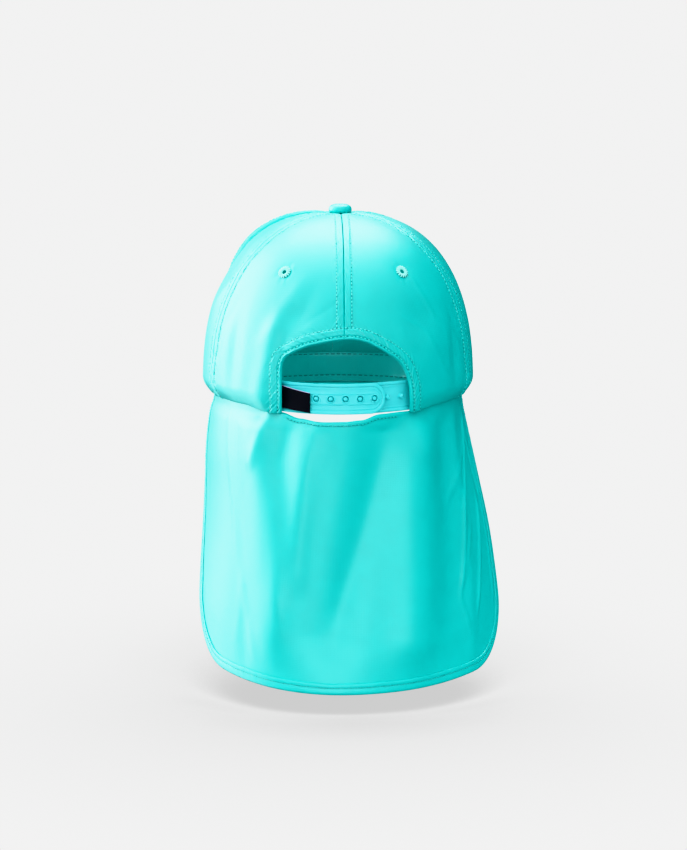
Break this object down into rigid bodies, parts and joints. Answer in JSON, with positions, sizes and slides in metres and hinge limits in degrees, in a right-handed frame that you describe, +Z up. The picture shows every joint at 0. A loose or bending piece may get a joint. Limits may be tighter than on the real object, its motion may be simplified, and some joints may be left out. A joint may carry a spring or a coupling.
{
  "type": "beach cap",
  "caption": "Panelled cap with a curved peak, a fastened snap strap across its rear opening and a long bound neck flap that hangs free.",
  "frame": {"origin": "centre of the head opening, level with the crown's lower edge at the sides, where the cap sits on a head", "axes": "+Z up through the top button, peak towards -Y, strap and neck flap towards +Y, the wearer's left towards +X"},
  "size_m": [0.2096, 0.27, 0.3228],
  "materials": {
    "crown_cloth": "smooth woven polyester, faint sheen",
    "button_cloth": "smooth woven polyester, faint sheen",
    "eyelet_thread": "satin-stitched thread",
    "sweatband_cloth": "matt woven band",
    "peak_cloth": "smooth woven polyester, faint sheen",
    "strap_plastic": "satin moulded plastic",
    "label_cloth": "matt woven tape",
    "flap_cloth": "smooth woven polyester, faint sheen",
    "binding_cloth": "folded woven strip, faint sheen"
  },
  "bodies": {
    "root": {"crown_panel_rear_left": "crown_cloth", "crown_panel_side_left": "crown_cloth", "crown_panel_front_left": "crown_cloth", "crown_panel_rear_right": "crown_cloth", "crown_panel_side_right": "crown_cloth", "crown_panel_front_right": "crown_cloth", "eyelet_rear_left": "eyelet_thread", "eyelet_rear_right": "eyelet_thread", "top_button": "button_cloth", "sweatband": "sweatband_cloth", "peak": "peak_cloth", "snap_strap_holes": "strap_plastic", "snap_strap_pegs": "strap_plastic", "strap_label": "label_cloth", "neck_flap": "flap_cloth", "flap_binding": "binding_cloth"}
  },
  "joints": []
}
